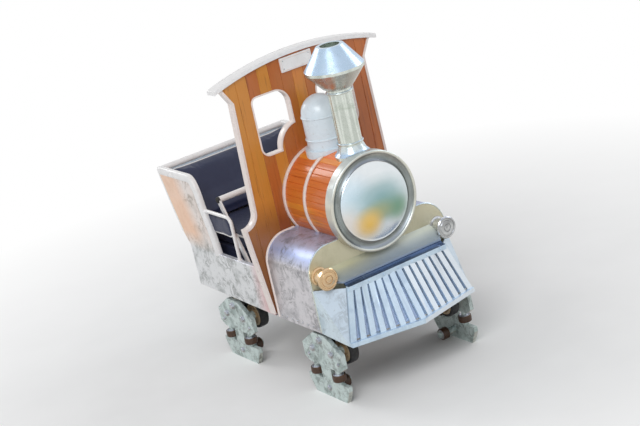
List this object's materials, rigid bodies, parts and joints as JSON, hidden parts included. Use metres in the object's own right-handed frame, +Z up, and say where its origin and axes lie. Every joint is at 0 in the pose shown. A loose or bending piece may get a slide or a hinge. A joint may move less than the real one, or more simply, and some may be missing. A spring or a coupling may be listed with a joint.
{
  "type": "roller coaster car",
  "caption": "Lead car of a family coaster shaped as a steam engine: wood boiler and cab front, polished fairing, slatted pilot, one bench with lap bar, and steering wheel sets.",
  "frame": {"origin": "on the floor under the middle of the car's length and width, the car standing on its carrier feet", "axes": "+X to the front of the car, +Y to its left, +Z up"},
  "size_m": [2.04, 1.118, 1.93],
  "materials": {
    "wheel_black": "satin",
    "wheel_brown": "satin",
    "carrier_paint": "semi-gloss",
    "chassis_paint": "satin",
    "varnished_wood": "gloss varnish",
    "white_paint": "gloss",
    "polished_steel": "polished",
    "navy_vinyl": "satin"
  },
  "bodies": {
    "car_body": {"frame_rails": "chassis_paint", "cross_members": "chassis_paint", "floor_pan": "chassis_paint", "boiler_barrel": "varnished_wood", "boiler_bands": "white_paint", "smokebox_ring": "polished_steel", "smokebox_door": "polished_steel", "smokestack": "polished_steel", "steam_dome": "white_paint", "fairing": "polished_steel", "nose_shelf": "polished_steel", "nose_cheeks": "polished_steel", "buffers": "polished_steel", "pilot": "polished_steel", "pilot_sheet": "polished_steel", "cab_front": "varnished_wood", "cab_trim": "white_paint", "window_trims": "white_paint", "cab_roof": "white_paint", "name_plate": "white_paint", "side_panels": "polished_steel", "seat_shell": "polished_steel", "seat_bench": "navy_vinyl", "seat_cushion": "navy_vinyl", "seat_backrest": "navy_vinyl", "hip_pads": "navy_vinyl", "arm_rails": "white_paint", "bar_brackets": "chassis_paint"},
    "front_running_gear": {"front_axle": "chassis_paint", "carrier_fl": "carrier_paint", "carrier_fr": "carrier_paint"},
    "run_wheel_fl_a": {"run_wheel_fl_a": "wheel_black"},
    "side_wheel_fl_a": {"side_wheel_fl_a": "wheel_brown"},
    "run_wheel_fl_b": {"run_wheel_fl_b": "wheel_black"},
    "side_wheel_fl_b": {"side_wheel_fl_b": "wheel_brown"},
    "stop_wheel_fl": {"stop_wheel_fl": "wheel_brown"},
    "run_wheel_fr_a": {"run_wheel_fr_a": "wheel_black"},
    "side_wheel_fr_a": {"side_wheel_fr_a": "wheel_brown"},
    "run_wheel_fr_b": {"run_wheel_fr_b": "wheel_black"},
    "side_wheel_fr_b": {"side_wheel_fr_b": "wheel_brown"},
    "stop_wheel_fr": {"stop_wheel_fr": "wheel_brown"},
    "rear_running_gear": {"rear_axle": "chassis_paint", "carrier_rl": "carrier_paint", "carrier_rr": "carrier_paint"},
    "run_wheel_rl_a": {"run_wheel_rl_a": "wheel_black"},
    "side_wheel_rl_a": {"side_wheel_rl_a": "wheel_brown"},
    "run_wheel_rl_b": {"run_wheel_rl_b": "wheel_black"},
    "side_wheel_rl_b": {"side_wheel_rl_b": "wheel_brown"},
    "stop_wheel_rl": {"stop_wheel_rl": "wheel_brown"},
    "run_wheel_rr_a": {"run_wheel_rr_a": "wheel_black"},
    "side_wheel_rr_a": {"side_wheel_rr_a": "wheel_brown"},
    "run_wheel_rr_b": {"run_wheel_rr_b": "wheel_black"},
    "side_wheel_rr_b": {"side_wheel_rr_b": "wheel_brown"},
    "stop_wheel_rr": {"stop_wheel_rr": "wheel_brown"},
    "restraint": {"lap_bar": "polished_steel"},
    "coupling_bar": {"drawbar": "chassis_paint"}
  },
  "joints": [
    {"name": "front_steer", "type": "hinge", "parent": "car_body", "child": "front_running_gear", "pos_m": [0.62, 0, 0.4], "axis": [0, 0, 1], "range_deg": [-6, 6]},
    {"name": "run_wheel_fl_a_spin", "type": "hinge", "parent": "front_running_gear", "child": "run_wheel_fl_a", "pos_m": [0.715, 0.357, 0.284], "axis": [0, 1, 0], "continuous": true},
    {"name": "side_wheel_fl_a_spin", "type": "hinge", "parent": "front_running_gear", "child": "side_wheel_fl_a", "pos_m": [0.73, 0.449, 0.146], "axis": [0, 0, 1], "continuous": true},
    {"name": "run_wheel_fl_b_spin", "type": "hinge", "parent": "front_running_gear", "child": "run_wheel_fl_b", "pos_m": [0.525, 0.357, 0.284], "axis": [0, 1, 0], "continuous": true},
    {"name": "side_wheel_fl_b_spin", "type": "hinge", "parent": "front_running_gear", "child": "side_wheel_fl_b", "pos_m": [0.51, 0.449, 0.146], "axis": [0, 0, 1], "continuous": true},
    {"name": "stop_wheel_fl_spin", "type": "hinge", "parent": "front_running_gear", "child": "stop_wheel_fl", "pos_m": [0.62, 0.357, 0.058], "axis": [0, 1, 0], "continuous": true},
    {"name": "run_wheel_fr_a_spin", "type": "hinge", "parent": "front_running_gear", "child": "run_wheel_fr_a", "pos_m": [0.715, -0.357, 0.284], "axis": [0, 1, 0], "continuous": true},
    {"name": "side_wheel_fr_a_spin", "type": "hinge", "parent": "front_running_gear", "child": "side_wheel_fr_a", "pos_m": [0.73, -0.449, 0.146], "axis": [0, 0, 1], "continuous": true},
    {"name": "run_wheel_fr_b_spin", "type": "hinge", "parent": "front_running_gear", "child": "run_wheel_fr_b", "pos_m": [0.525, -0.357, 0.284], "axis": [0, 1, 0], "continuous": true},
    {"name": "side_wheel_fr_b_spin", "type": "hinge", "parent": "front_running_gear", "child": "side_wheel_fr_b", "pos_m": [0.51, -0.449, 0.146], "axis": [0, 0, 1], "continuous": true},
    {"name": "stop_wheel_fr_spin", "type": "hinge", "parent": "front_running_gear", "child": "stop_wheel_fr", "pos_m": [0.62, -0.357, 0.058], "axis": [0, 1, 0], "continuous": true},
    {"name": "rear_steer", "type": "hinge", "parent": "car_body", "child": "rear_running_gear", "pos_m": [-0.35, 0, 0.4], "axis": [0, 0, 1], "range_deg": [-6, 6]},
    {"name": "run_wheel_rl_a_spin", "type": "hinge", "parent": "rear_running_gear", "child": "run_wheel_rl_a", "pos_m": [-0.255, 0.357, 0.284], "axis": [0, 1, 0], "continuous": true},
    {"name": "side_wheel_rl_a_spin", "type": "hinge", "parent": "rear_running_gear", "child": "side_wheel_rl_a", "pos_m": [-0.24, 0.449, 0.146], "axis": [0, 0, 1], "continuous": true},
    {"name": "run_wheel_rl_b_spin", "type": "hinge", "parent": "rear_running_gear", "child": "run_wheel_rl_b", "pos_m": [-0.445, 0.357, 0.284], "axis": [0, 1, 0], "continuous": true},
    {"name": "side_wheel_rl_b_spin", "type": "hinge", "parent": "rear_running_gear", "child": "side_wheel_rl_b", "pos_m": [-0.46, 0.449, 0.146], "axis": [0, 0, 1], "continuous": true},
    {"name": "stop_wheel_rl_spin", "type": "hinge", "parent": "rear_running_gear", "child": "stop_wheel_rl", "pos_m": [-0.35, 0.357, 0.058], "axis": [0, 1, 0], "continuous": true},
    {"name": "run_wheel_rr_a_spin", "type": "hinge", "parent": "rear_running_gear", "child": "run_wheel_rr_a", "pos_m": [-0.255, -0.357, 0.284], "axis": [0, 1, 0], "continuous": true},
    {"name": "side_wheel_rr_a_spin", "type": "hinge", "parent": "rear_running_gear", "child": "side_wheel_rr_a", "pos_m": [-0.24, -0.449, 0.146], "axis": [0, 0, 1], "continuous": true},
    {"name": "run_wheel_rr_b_spin", "type": "hinge", "parent": "rear_running_gear", "child": "run_wheel_rr_b", "pos_m": [-0.445, -0.357, 0.284], "axis": [0, 1, 0], "continuous": true},
    {"name": "side_wheel_rr_b_spin", "type": "hinge", "parent": "rear_running_gear", "child": "side_wheel_rr_b", "pos_m": [-0.46, -0.449, 0.146], "axis": [0, 0, 1], "continuous": true},
    {"name": "stop_wheel_rr_spin", "type": "hinge", "parent": "rear_running_gear", "child": "stop_wheel_rr", "pos_m": [-0.35, -0.357, 0.058], "axis": [0, 1, 0], "continuous": true},
    {"name": "lap_bar_swing", "type": "hinge", "parent": "car_body", "child": "restraint", "pos_m": [-0.095, 0, 0.56], "axis": [0, 1, 0], "range_deg": [0, 45]},
    {"name": "drawbar_swing", "type": "hinge", "parent": "car_body", "child": "coupling_bar", "pos_m": [-0.7, 0, 0.424], "axis": [0, 0, 1], "range_deg": [-25, 25]}
  ]
}
